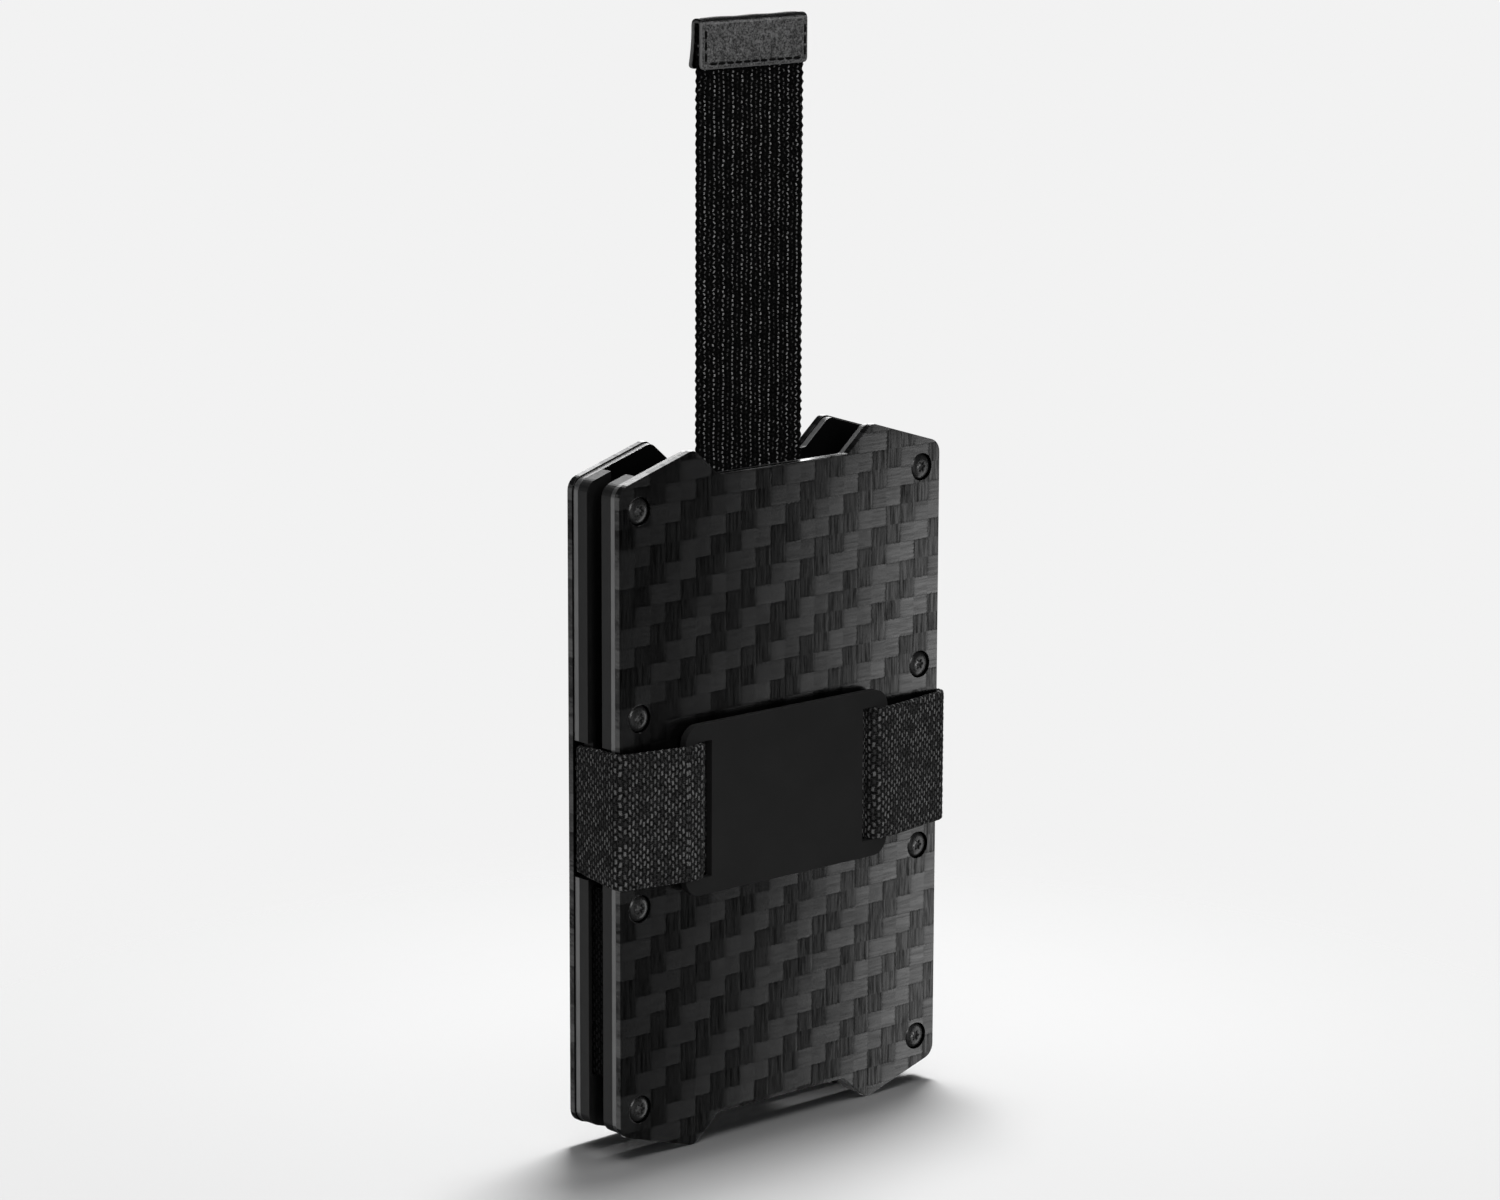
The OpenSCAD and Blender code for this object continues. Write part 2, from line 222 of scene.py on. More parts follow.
class Shader:
    """A material with one Principled shader, and short ways to add nodes to it."""

    def __init__(self, name, roughness, metallic=0.0, specular=0.5):
        self.mat = bpy.data.materials.new(name)
        self.mat.use_nodes = True
        self.tree = self.mat.node_tree
        self.bsdf = self.tree.nodes["Principled BSDF"]
        self.bsdf.inputs["Roughness"].default_value = roughness
        self.bsdf.inputs["Metallic"].default_value = metallic
        self.bsdf.inputs["Specular IOR Level"].default_value = specular

    def add(self, kind, **settings):
        node = self.tree.nodes.new("ShaderNode" + kind)
        for key, value in settings.items():
            setattr(node, key, value)
        return node

    def put(self, value, socket):
        """Links a socket to another one, or sets it to a number or colour."""
        if isinstance(value, bpy.types.NodeSocket):
            self.tree.links.new(value, socket)
        else:
            socket.default_value = value

    def math(self, operation, a, b=0.0, c=0.0):
        node = self.add("Math", operation=operation)
        for value, socket in zip((a, b, c), node.inputs):
            self.put(value, socket)
        return node.outputs[0]

    def vector(self, x, y, z):
        node = self.add("CombineXYZ")
        for value, socket in zip((x, y, z), node.inputs):
            self.put(value, socket)
        return node.outputs[0]

    def place(self):
        """The point in the piece's own space, in millimetres, as three sockets."""
        scale = self.add("VectorMath", operation="SCALE")
        scale.inputs["Scale"].default_value = 1 / MM
        self.tree.links.new(self.add("TexCoord").outputs["Object"], scale.inputs[0])
        split = self.add("SeparateXYZ")
        self.tree.links.new(scale.outputs[0], split.inputs[0])
        return split.outputs[0], split.outputs[1], split.outputs[2]

    def noise(self, where, scale, detail=3.0, roughness=0.55):
        node = self.add("TexNoise")
        node.inputs["Scale"].default_value = scale
        node.inputs["Detail"].default_value = detail
        node.inputs["Roughness"].default_value = roughness
        self.put(where, node.inputs["Vector"])
        return node.outputs[0]

    def remap(self, value, low, high, to_low=0.0, to_high=1.0, smooth=False):
        node = self.add("MapRange")
        if smooth:
            node.interpolation_type = "SMOOTHSTEP"
        for value_in, socket in zip((value, low, high, to_low, to_high), node.inputs):
            self.put(value_in, socket)
        return node.outputs[0]

    def mix(self, share, a, b):
        """A colour between a and b."""
        node = self.add("Mix", data_type="RGBA")
        self.put(share, node.inputs[0])
        for value, socket in ((a, node.inputs[6]), (b, node.inputs[7])):
            self.put(value if isinstance(value, bpy.types.NodeSocket) else (*value, 1), socket)
        return node.outputs[2]

    def grey(self, value):
        node = self.add("CombineColor")
        for socket in node.inputs[:3]:
            self.put(value, socket)
        return node.outputs[0]

    def colour(self, value):
        self.put(value, self.bsdf.inputs["Base Color"])

    def roughness(self, value):
        self.put(value, self.bsdf.inputs["Roughness"])

    def bump(self, height, distance_mm, strength=1.0):
        node = self.add("Bump")
        node.inputs["Distance"].default_value = distance_mm * MM
        node.inputs["Strength"].default_value = strength
        self.put(height, node.inputs["Height"])
        self.tree.links.new(node.outputs[0], self.bsdf.inputs["Normal"])


def carbon_material():
    """Two by two twill of flat tows under a thin satin lacquer, in millimetres in the piece's space.
    Weft tows get a paler colour and more specular than warp tows: painted sheen standing in for the
    fibres' directional reflection.
    """
    tow = 2.95
    weave_x, weave_z, stray_by_x, stray_by_z = -3.25, -1.55, 0.15, 0.10
    s = Shader("carbon_twill", 0.4)
    x, y, z = s.place()
    stray_x = s.noise(s.vector(s.math("MULTIPLY", x, 0.3), y, s.math("MULTIPLY", z, 3.0)), 1.0, 2.0)
    stray_z = s.noise(s.vector(s.math("MULTIPLY", x, 3.0), y, s.math("MULTIPLY", z, 0.3)), 1.0, 2.0)
    across = s.math("DIVIDE", s.math("ADD", x, s.remap(stray_x, 0.3, 0.7, weave_x - stray_by_x,
                                                           weave_x + stray_by_x)), tow)
    up = s.math("DIVIDE", s.math("ADD", z, s.remap(stray_z, 0.3, 0.7, weave_z - stray_by_z,
                                                       weave_z + stray_by_z)), tow)
    column, row = s.math("FLOOR", across), s.math("FLOOR", up)
    fx, fz = s.math("SUBTRACT", across, column), s.math("SUBTRACT", up, row)
    step = s.math("FLOORED_MODULO", s.math("SUBTRACT", column, row), 4.0)
    weft_up = s.math("GREATER_THAN", step, 1.5)
    warp_up = s.math("SUBTRACT", 1.0, weft_up)

    def chosen(warp, weft):
        return s.math("ADD", s.math("MULTIPLY", warp_up, warp), s.math("MULTIPLY", weft_up, weft))

    along = chosen(s.math("MULTIPLY", s.math("ADD", s.math("SUBTRACT", 1.0, step), fz), 0.5),
                   s.math("MULTIPLY", s.math("ADD", s.math("SUBTRACT", step, 2.0), fx), 0.5))
    side = chosen(fx, fz)
    end_fall = s.math("POWER", s.math("ABSOLUTE", s.math("MULTIPLY_ADD", along, 2.0, -1.0)), 6.0)
    side_fall = s.math("POWER", s.math("ABSOLUTE", s.math("MULTIPLY_ADD", side, 2.0, -1.0)), 10.0)
    crown = s.math("MULTIPLY", s.math("SUBTRACT", 1.0, end_fall), s.math("SUBTRACT", 1.0, side_fall))

    shift = s.math("MULTIPLY", s.math("ADD", column, s.math("MULTIPLY", row, 1.7)), 2.3)
    coarse = chosen(
        s.noise(s.vector(s.math("MULTIPLY", x, 2.6), shift, s.math("MULTIPLY", z, 0.16)), 1.0, 3.0, 0.7),
        s.noise(s.vector(s.math("MULTIPLY", x, 0.16), shift, s.math("MULTIPLY", z, 2.6)), 1.0, 3.0, 0.7))
    fine = chosen(s.noise(s.vector(s.math("MULTIPLY", x, 9.0), y, s.math("MULTIPLY", z, 0.3)), 1.0, 2.0),
                  s.noise(s.vector(s.math("MULTIPLY", x, 0.3), y, s.math("MULTIPLY", z, 9.0)), 1.0, 2.0))
    streak = s.math("MULTIPLY", s.remap(coarse, 0.34, 0.62), s.remap(fine, 0.3, 0.7, 0.7, 1.1))
    patch = s.noise(s.vector(column, row, 3.0), 0.9, 1.0)
    tone = s.math("MULTIPLY", s.remap(patch, 0.35, 0.65, 0.85, 1.15), s.remap(crown, 0.0, 0.6, 0.6, 1.0))

    # Painted sheen: weft tows get more specular and a paler colour than warp tows of the same fibre.
    painted_tow_sheen = chosen(s.remap(streak, 0.0, 1.0, 0.07, 0.47), s.remap(streak, 0.0, 1.0, 0.42, 0.76))
    s.put(s.math("MULTIPLY", painted_tow_sheen, tone), s.bsdf.inputs["Specular IOR Level"])
    level = chosen(s.remap(streak, 0.0, 1.0, 0.0003, 0.0024), s.remap(streak, 0.0, 1.0, 0.0012, 0.0030))
    s.colour(s.grey(s.math("MULTIPLY", level, tone)))
    s.roughness(chosen(s.remap(streak, 0.0, 1.0, 0.195, 0.18), s.remap(streak, 0.0, 1.0, 0.215, 0.195)))
    height = s.math("ADD", s.math("MULTIPLY", crown, 0.7), s.math("MULTIPLY", coarse, 0.6))
    s.bump(height, 0.012, 0.6)
    return s.mat


def metal_material(name, level, roughness, metallic=0.9, shaded_face_level=None):
    """Anodised metal with fine lines along its length. A sheet's two faces can be darker than its edges,
    as painted shade standing in for the dark surroundings that the faces mirror.
    """
    s = Shader(name, roughness, metallic)
    x, y, z = s.place()
    lines = s.noise(s.vector(s.math("MULTIPLY", x, 8.0), s.math("MULTIPLY", y, 14.0),
                             s.math("MULTIPLY", z, 0.5)), 1.0, 3.0)
    cloud = s.noise(s.vector(x, y, z), 0.25, 2.0)
    shade = s.math("MULTIPLY", s.remap(lines, 0.3, 0.7, 0.85, 1.15), s.remap(cloud, 0.3, 0.7, 0.93, 1.07))
    # Painted shade: the faces that look along Y get a darker colour than the edges.
    if shaded_face_level is not None:
        split = s.add("SeparateXYZ")
        s.tree.links.new(s.add("TexCoord").outputs["Normal"], split.inputs[0])
        face_shade_share = s.remap(s.math("ABSOLUTE", split.outputs[1]), 0.80, 0.97, smooth=True)
        level = s.remap(face_shade_share, 0.0, 1.0, level, shaded_face_level)
    s.colour(s.grey(s.math("MULTIPLY", shade, level)))
    s.roughness(s.remap(lines, 0.3, 0.7, roughness * 0.85, roughness * 1.2))
    s.bump(lines, 0.012, 0.5)
    return s.mat


def coated_material(name, level, roughness, specular):
    """Matt powder coat with a fine orange peel."""
    s = Shader(name, roughness, specular=specular)
    x, y, z = s.place()
    peel = s.noise(s.vector(x, y, z), 5.0, 2.0)
    cloud = s.noise(s.vector(x, y, z), 0.12, 3.0)
    s.colour(s.grey(s.math("MULTIPLY", s.remap(cloud, 0.3, 0.7, 0.92, 1.08), level)))
    s.roughness(s.remap(cloud, 0.3, 0.7, roughness - 0.04, roughness + 0.04))
    s.bump(peel, 0.015, 0.4)
    return s.mat


def woven_material(name, weave, levels, sheen, plain=0.35, dull_columns=0.0, rib_pitch=None, least=0.15):
    """Yarn dashes over finer yarn. Each strip's mesh carries how far along and across it every point
    is, in millimetres. The colour follows how high the yarn lies, with painted shade in the hollows
    and on the lower yarn, and a painted highlight on the crowns: levels are how pale the hollows,
    the yarn and its crowns are, and dull_columns is how much lower every other column is."""
    s = Shader(name, 0.8, specular=0.2)
    along = s.add("Attribute", attribute_name="along").outputs["Fac"]
    across = s.add("Attribute", attribute_name="across").outputs["Fac"]
    a, b = (across, along) if weave["columns_along"] else (along, across)
    x, y, z = s.place()
    columns = s.math("DIVIDE", a, weave["column_pitch"])
    column = s.math("ROUND", columns)
    odd = s.math("FLOORED_MODULO", column, 2.0)
    rows = s.math("ADD", s.math("DIVIDE", b, weave["row_pitch"]), s.math("MULTIPLY", odd, 0.5))
    row = s.math("ROUND", rows)
    from_column = s.math("ABSOLUTE", s.math("SUBTRACT", columns, column))
    from_row = s.math("ABSOLUTE", s.math("SUBTRACT", rows, row))
    wide, long = weave["wide"], weave["long"]
    mound = s.math("MULTIPLY", s.remap(from_column, wide, wide * 0.35, smooth=True),
                   s.remap(from_row, long, long * 0.55, smooth=True))
    chance = s.add("TexWhiteNoise", noise_dimensions="2D")
    s.put(s.vector(column, row, 0.0), chance.inputs["Vector"])
    luck = s.math("MULTIPLY", s.remap(chance.outputs["Value"], 0.0, 1.0, least, 1.0),
                  s.math("SUBTRACT", 1.0, s.math("MULTIPLY", odd, dull_columns)))
    fuzz = s.noise(s.vector(x, y, z), 4.5, 3.0, 0.75)
    fibre = s.noise(s.vector(x, y, z), 13.0, 2.0, 0.6)
    under = s.math("MULTIPLY", s.remap(fuzz, 0.42, 0.62), plain)
    if rib_pitch:
        rib = s.math("SINE", s.math("MULTIPLY", across, 2 * math.pi / rib_pitch))
        under = s.math("MULTIPLY", under, s.remap(rib, -0.6, 0.6, 0.35, 1.2))
    lie = s.math("MAXIMUM", s.math("MULTIPLY", mound, luck), under)
    lie = s.math("MULTIPLY", lie, s.remap(fibre, 0.32, 0.62, 0.25, 1.25))
    deep, high, crown_highlight = levels
    # Painted shade in the hollows and a painted highlight on the crowns, by how high the yarn lies.
    body = s.remap(lie, 0.02, 0.45, deep, high)
    s.colour(s.grey(s.math("ADD", body, s.remap(lie, 0.4, 1.0, 0.0, crown_highlight - high))))
    s.put(s.remap(lie, 0.0, 0.5, 0.02, 0.3), s.bsdf.inputs["Specular IOR Level"])
    s.bump(lie, 0.16, 0.8)
    s.bsdf.inputs["Sheen Weight"].default_value = sheen
    s.bsdf.inputs["Sheen Roughness"].default_value = 0.5
    return s.mat


def leather_material():
    """Dark grey leather with a fine pebbled grain and puckers. Painted shade makes it black on its inner
    faces and along the top of its fold, and darker in its puckers and along its stitch lines. Its cut
    edges and the ridge beside its stitches are paler."""
    s = Shader("leather_grain", 0.5, specular=0.4)
    inside = s.add("Attribute", attribute_name="inside").outputs["Fac"]
    rim = s.add("Attribute", attribute_name="rim").outputs["Fac"]
    stitch_dip_and_shade = s.add("Attribute", attribute_name="stitch_dip_and_shade").outputs["Fac"]
    x, y, z = s.place()
    where = s.vector(x, y, z)
    warp = s.noise(where, 2.0, 2.0)
    grain = s.noise(s.vector(s.math("ADD", x, s.math("MULTIPLY", warp, 0.6)), y, z), 3.0, 3.0, 0.7)
    pebble = s.remap(grain, 0.40, 0.60)
    crease_dent_and_shade = s.add("Attribute", attribute_name="crease_dent_and_shade").outputs["Fac"]
    cloud = s.noise(where, 0.45, 3.0)
    level = s.math("MULTIPLY", s.remap(pebble, 0.0, 1.0, 0.038, 0.225),
                   s.remap(cloud, 0.3, 0.7, 0.85, 1.12))
    # Painted shade: darker in the puckers and along the sunk stitch lines.
    level = s.math("MULTIPLY", level, s.remap(crease_dent_and_shade, 0.0, 1.0, 1.0, 0.55))
    level = s.math("MULTIPLY", level, s.remap(stitch_dip_and_shade, 0.2, 1.0, 1.0, 0.7))
    # Painted shade: near black, with little specular, on the inner faces and along the top of the fold.
    s.colour(s.mix(rim, s.mix(inside, s.grey(level), (0.0015, 0.0015, 0.0016)), (0.30, 0.30, 0.30)))
    s.roughness(s.remap(inside, 0.0, 1.0, 0.5, 0.4))
    s.put(s.remap(inside, 0.0, 1.0, 0.4, 0.03), s.bsdf.inputs["Specular IOR Level"])
    s.bump(pebble, 0.10, 0.9)
    return s.mat


def screw_material():
    """Glossy black oxide over turned steel, with a paler grey bottom in the socket: a painted highlight
    for the light that the flat bottom catches.
    """
    s = Shader("screw_oxide", 0.28, metallic=0.6)
    painted_socket_light = s.add("Attribute", attribute_name="painted_socket_light").outputs["Fac"]
    x, y, z = s.place()
    wear = s.noise(s.vector(x, y, z), 3.0, 3.0, 0.7)
    base = s.math("MULTIPLY", s.remap(wear, 0.3, 0.7, 0.75, 1.25), 0.028)
    # Painted highlight: the socket's bottom gets a paler grey.
    s.colour(s.grey(s.math("ADD", base, s.math("MULTIPLY", painted_socket_light, s.remap(wear, 0.35, 0.6, 0.06, 0.17)))))
    s.roughness(s.remap(wear, 0.3, 0.7, 0.22, 0.34))
    s.bump(wear, 0.02, 0.4)
    return s.mat


def thread_material():
    s = Shader("thread_ply", 0.7, specular=0.1)
    x, y, z = s.place()
    twist = s.add("TexWave")
    twist.inputs["Scale"].default_value = 1.6
    s.put(s.vector(x, y, z), twist.inputs["Vector"])
    s.colour(s.grey(s.remap(twist.outputs["Fac"], 0.0, 1.0, 0.001, 0.006)))
    s.bump(twist.outputs["Fac"], 0.05, 0.6)
    return s.mat


# ---------------------------------------------------------------- woven strips

def unit_rows(v):
    return v / np.linalg.norm(v, axis=1, keepdims=True)


def rounded_path(points, radii):
    """An open line through flat points, with each inner corner rounded by an arc, as dense points."""
    points = [np.array(p, float) for p in points]
    out = [points[0]]
    for before, corner, after, r in zip(points, points[1:], points[2:], radii):
        u = (before - corner) / np.linalg.norm(before - corner)
        v = (after - corner) / np.linalg.norm(after - corner)
        half = math.acos(np.clip(u @ v, -1, 1)) / 2
        if r <= 0 or half > math.radians(89.5):
            out.append(corner)
            continue
        reach = min(r / math.tan(half), 0.49 * np.linalg.norm(before - corner),
                    0.49 * np.linalg.norm(after - corner))
        a, b = corner + u * reach, corner + v * reach
        for t in np.linspace(0, 1, 17):
            out.append((1 - t) ** 2 * a + 2 * t * (1 - t) * corner + t ** 2 * b)
    out.append(points[-1])
    return np.array(out)


def resampled(path, step):
    """Points at even steps along a path, with the length reached at each."""
    lengths = np.concatenate([[0], np.cumsum(np.linalg.norm(np.diff(path, axis=0), axis=1))])
    count = max(2, int(round(lengths[-1] / step)) + 1)
    at = np.linspace(0, lengths[-1], count)
    return np.column_stack([np.interp(at, lengths, path[:, k]) for k in range(path.shape[1])]), at


def tangents(points):
    return unit_rows(np.gradient(points, axis=0))


ELASTIC = {"columns_along": False, "column_pitch": 0.60, "row_pitch": 1.15, "wide": 0.42, "long": 0.40}
WEBBING = {"columns_along": True, "column_pitch": 0.915, "row_pitch": 0.65, "wide": 0.27, "long": 0.40}


def yarn_lie(weave, along, across):
    """How high the yarn lies, from 0 to 1: dashes in columns, every other column half a row on."""
    def fall(value, reach, level):
        return 1 - np.clip((value - level) / (reach - level), 0, 1)

    a, b = (across, along) if weave["columns_along"] else (along, across)
    columns = a / weave["column_pitch"]
    column = np.round(columns)
    rows = b / weave["row_pitch"] + 0.5 * np.mod(column, 2)
    wide, long = weave["wide"], weave["long"]
    return (fall(np.abs(columns - column), wide, wide * 0.3)
            * fall(np.abs(rows - np.round(rows)), long, long * 0.5))


def woven_strip(name, line, normal, across, half, thick, weave, relief, along, step=0.2,
                edge_wave=0.0, wave_pitch=0.9):
    """A closed strip of webbing along a middle line. Line, half width and thickness are in metres;
    relief, step, edge_wave and the distance along are in millimetres."""
    n = len(line)
    half = np.broadcast_to(half, n) / MM
    m = max(8, int(round(2 * half.max() / step)) + 1)
    share = np.linspace(-1, 1, m)
    v = half[:, None] * share[None, :]
    u = np.broadcast_to(along[:, None], v.shape)
    stray = 0.06 * np.sin(1.7 * v + 0.31 * u) + 0.05 * np.sin(3.8 * v - 1.13 * u + 1.0)
    u_mark = u + stray
    v_mark = (share[None, :] * half.max() + 0.08 * np.sin(0.9 * u + 0.7 * v)
              + 0.09 * np.sin(4.7 * u + 0.4 * v))
    fall = np.sqrt(np.clip(1 - (1 - np.clip((half[:, None] - np.abs(v)) / 0.45, 0, 1)) ** 2, 0.02, 1))
    widen = 1 + edge_wave / half[:, None] * np.cos(2 * np.pi * u / wave_pitch)
    across = np.array(across, float)
    base = line[:, None, :] + (v * widen * MM)[:, :, None] * across
    sides = []
    for turn, shift in ((1, 0.0), (-1, 0.31)):
        rise = thick / 2 / MM * fall + relief * (yarn_lie(weave, u_mark + shift, v_mark) - 0.4) * fall
        sides.append(base + turn * normal[:, None, :] * (rise * MM)[:, :, None])
    ring = np.concatenate([sides[0], sides[1][:, ::-1]], axis=1)
    marks = {"along": np.concatenate([u_mark, u_mark[:, ::-1] + 0.31], axis=1).reshape(-1),
             "across": np.concatenate([v_mark, v_mark[:, ::-1]], axis=1).reshape(-1)}
    return mesh_object(name, ring.reshape(-1, 3), tube_faces(n, 2 * m), marks)


def tube_faces(rings, count):
    """Quads between rings of points, with both ends closed."""
    i, k = np.meshgrid(np.arange(rings - 1), np.arange(count), indexing="ij")
    after = (k + 1) % count
    low, high = i * count, (i + 1) * count
    quads = np.stack([low + k, low + after, high + after, high + k], axis=-1)
    faces = quads.reshape(-1, 4).tolist()
    faces.append(list(range(count))[::-1])
    faces.append(list(range((rings - 1) * count, rings * count)))
    return faces


def mesh_object(name, verts, faces, values=None):
    """A smooth object from points and faces, turned outwards, with float attributes on its points."""
    mesh = bpy.data.meshes.new(name)
    mesh.from_pydata([tuple(p) for p in verts], [], faces)
    mesh.update()
    for key, data in (values or {}).items():
        attribute = mesh.attributes.new(key, "FLOAT", "POINT")
        attribute.data.foreach_set("value", np.asarray(data, np.float32))
    if signed_volume(mesh) < 0:
        mesh.flip_normals()
    mesh.shade_smooth()
    obj = bpy.data.objects.new(name, mesh)
    bpy.context.scene.collection.objects.link(obj)
    return obj


def signed_volume(mesh):
    mesh.calc_loop_triangles()
    total = 0.0
    for triangle in mesh.loop_triangles:
        a, b, c = (mesh.vertices[i].co for i in triangle.vertices)
        total += a.dot(b.cross(c))
    return total / 6


def finish_piece(obj, material, nodes, body=None):
    """Gives a piece its material and slot, hides the CAD nodes it stands for, and mounts it."""
    obj.data.materials.append(material)
    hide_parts(*nodes)
    if body:
        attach(obj, body)
    else:
        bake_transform(obj)
    return obj


# ---------------------------------------------------------------- cash band

def band_path(sign):
    """The band's middle line in plan on one side, from behind the clip plate's middle to its tail's end."""
    middle, half = (CLIP_LOW.x + CLIP_HIGH.x) / 2, (CLIP_HIGH.x - CLIP_LOW.x) / 2
    behind = FACE_Y - 0.55 * MM
    ahead = CLIP_LOW.y - BAND_T / 2 - 0.05 * MM
    slot = middle + sign * (half - 3.0 * MM)
    bar = middle + sign * (half + 0.2 * MM)
    corner = sign * (PLATE_HALF + (0.95 if sign > 0 else 0.65) * MM)
    rear = sign * (PLATE_HALF - 0.5 * MM)
    tail = (TAIL_LOW.y + TAIL_HIGH.y) / 2
    points = [(middle, behind), (slot, behind), (slot, ahead), (bar, ahead), (corner, FACE_Y - 0.6 * MM),
              (rear, tail), (sign * abs(TAIL_HIGH.x), tail)]
    return rounded_path(points, [0.8 * MM, 1.15 * MM, 3 * MM, 1.45 * MM, 0.5 * MM])


def band_piece(name, flat, along):
    """A piece of the band along a line in plan. The band grows a little narrower towards the rear."""
    turn = tangents(flat)
    line = np.column_stack([flat, np.full(len(flat), BAND_MID_Z)])
    normal = np.column_stack([turn[:, 1], -turn[:, 0], np.zeros(len(flat))])
    back = np.clip((flat[:, 1] - FACE_Y) / (TAIL_LOW.y - FACE_Y), 0, 1)
    half = BAND_HALF - 0.65 * MM * back ** 1.5
    return woven_strip(name, line, normal, (0, 0, 1), half, BAND_T, ELASTIC, 0.10, along,
                       step=0.16, edge_wave=0.05, wave_pitch=0.6)


def build_band():
    """Seven pieces cut from one band, so that its weave runs on from piece to piece."""
    # The pale crowns of this black elastic are a painted highlight, and its dark hollows painted shade.
    woven = woven_material("elastic_weave", ELASTIC, (0.0018, 0.050, 0.34), 0.03, plain=0.4, rib_pitch=0.27,
                           least=0.3)
    runs = {}
    for side, sign in (("left", -1), ("right", 1)):
        flat, at = resampled(band_path(sign), 0.16 * MM)
        clip_x = (CLIP_HIGH if sign > 0 else CLIP_LOW).x
        clip_end = int(np.argmax(sign * flat[:, 0] > sign * clip_x + 0.05 * MM))
        corner = int(np.argmax((sign * flat[:, 0] > PLATE_HALF) & (flat[:, 1] > FACE_Y + 0.2 * MM)))
        tail = int(np.argmax(flat[:, 1] > TAIL_LOW.y - 0.05 * MM))
        runs[side] = (sign, flat, sign * at / MM, clip_end, corner, tail)

    _, left, left_at, left_end, _, _ = runs["left"]
    _, right, right_at, right_end, _, _ = runs["right"]
    middle = band_piece("cash_band_middle",
                        np.concatenate([left[left_end:0:-1], right[:right_end + 1]]),
                        np.concatenate([left_at[left_end:0:-1], right_at[:right_end + 1]]))
    finish_piece(middle, woven, ["band_clip_run"], body="clip")
    for side, (sign, flat, along, clip_end, corner, tail) in runs.items():
        rows = {"front": slice(clip_end, corner + 1), "side": slice(corner, tail + 1),
                "tail": slice(tail, None)}
        pieces = {part: band_piece(f"cash_band_{side}_{part}", flat[cut], along[cut])
                  for part, cut in rows.items()}
        finish_piece(pieces["front"], woven, [f"band_front_{side}"])
        finish_piece(pieces["side"], woven, [f"band_{side}_side"])
        finish_piece(pieces["tail"], woven, [f"band_{side}_tail"], body="rear")


def build_side_webs():
    """The two elastic webs in the lower half of the gap, hemmed in the frames' grooves."""
    woven = woven_material("web_weave", ELASTIC, (0.0010, 0.0035, 0.010), 0.0, rib_pitch=0.27)
    deep = REAR_COVER_LOW.y - 1.4 * MM
    for side, sign in (("left", -1), ("right", 1)):
        ends = np.array([(sign * WEB_X, WEB_LOW.y + 0.1 * MM), (sign * WEB_X, deep)])
        flat, at = resampled(ends, 0.2 * MM)
        line = np.column_stack([flat, np.full(len(flat), (WEB_LOW.z + WEB_HIGH.z) / 2)])
        normal = np.tile([float(sign), 0, 0], (len(flat), 1))
        web = woven_strip(f"{side}_side_web", line, normal, (0, 0, 1), (WEB_HIGH.z - WEB_LOW.z) / 2,
                          (WEB_HIGH.x - WEB_LOW.x) * 0.9, ELASTIC, 0.1, at / MM, step=0.2, edge_wave=0.05)
        finish_piece(web, woven, [f"{side}_web"])


# ---------------------------------------------------------------- pull ribbon

def build_ribbon():
    """One ribbon from its fixed end in the front liner, down, round the fold and up into the tab."""
    # The ribbon's pale crowns are a painted highlight, and its dark hollows painted shade.
    woven = woven_material("ribbon_weave", WEBBING, (0.0012, 0.0040, 0.75), 0.0, plain=0.3,
                           dull_columns=0.4, least=0.45)
    anchor_y = (ANCHOR_LOW.y + ANCHOR_HIGH.y) / 2
    front_y = (RIBBON_FRONT_LOW.y + RIBBON_FRONT_HIGH.y) / 2
    rear_y = (RIBBON_LOW.y + RIBBON_HIGH.y) / 2
    turn_z = FOLD_HIGH.z
    radius = (rear_y - front_y) / 2
    arc = [(front_y + radius - radius * math.cos(a), turn_z - radius * math.sin(a))
           for a in np.linspace(0, math.pi, 33)]
    head = rounded_path([(anchor_y, ANCHOR_HIGH.z), (anchor_y, ANCHOR_LOW.z + 0.8 * MM),
                         (front_y, ANCHOR_LOW.z - 1.8 * MM), (front_y, turn_z)], [1.5 * MM, 1.5 * MM])
    path = np.concatenate([head, np.array(arc)[1:-1], [(rear_y, turn_z), (rear_y, RIBBON_HIGH.z)]])
    flat, at = resampled(path, 0.20 * MM)
    t = tangents(flat)
    leave_z = ANCHOR_LOW.z + 0.3 * MM
    leave = int(np.argmax(flat[:, 1] < leave_z))
    down = int(np.argmax(flat[:, 1] < turn_z))
    past = down + 4
    up = past + int(np.argmax(flat[past:, 1] >= turn_z))
    parts = {"ribbon_fixed_end": (0, leave), "ribbon_front_run": (leave, down),
             "ribbon_turn": (down, up), "ribbon_pulled_run": (up, len(flat) - 1)}
    pieces = {}
    for name, (a, b) in parts.items():
        rows = np.arange(a, b + 1)
        centre = np.column_stack([np.zeros(len(rows)), flat[rows]])
        normal = np.column_stack([np.zeros(len(rows)), t[rows, 1], -t[rows, 0]])
        pieces[name] = woven_strip(name, centre, normal, (1, 0, 0), RIBBON_HALF, RIBBON_T, WEBBING, 0.2,
                                   at[rows] / MM, step=0.18, edge_wave=0.12, wave_pitch=1.3)
    finish_piece(pieces["ribbon_fixed_end"], woven, ["ribbon_anchor"], body="front")
    finish_piece(pieces["ribbon_front_run"], woven, ["ribbon_front"])
    finish_piece(pieces["ribbon_turn"], woven, ["ribbon_fold"], body="fold")
    finish_piece(pieces["ribbon_pulled_run"], woven, ["ribbon_rear"])


# ---------------------------------------------------------------- leather tab

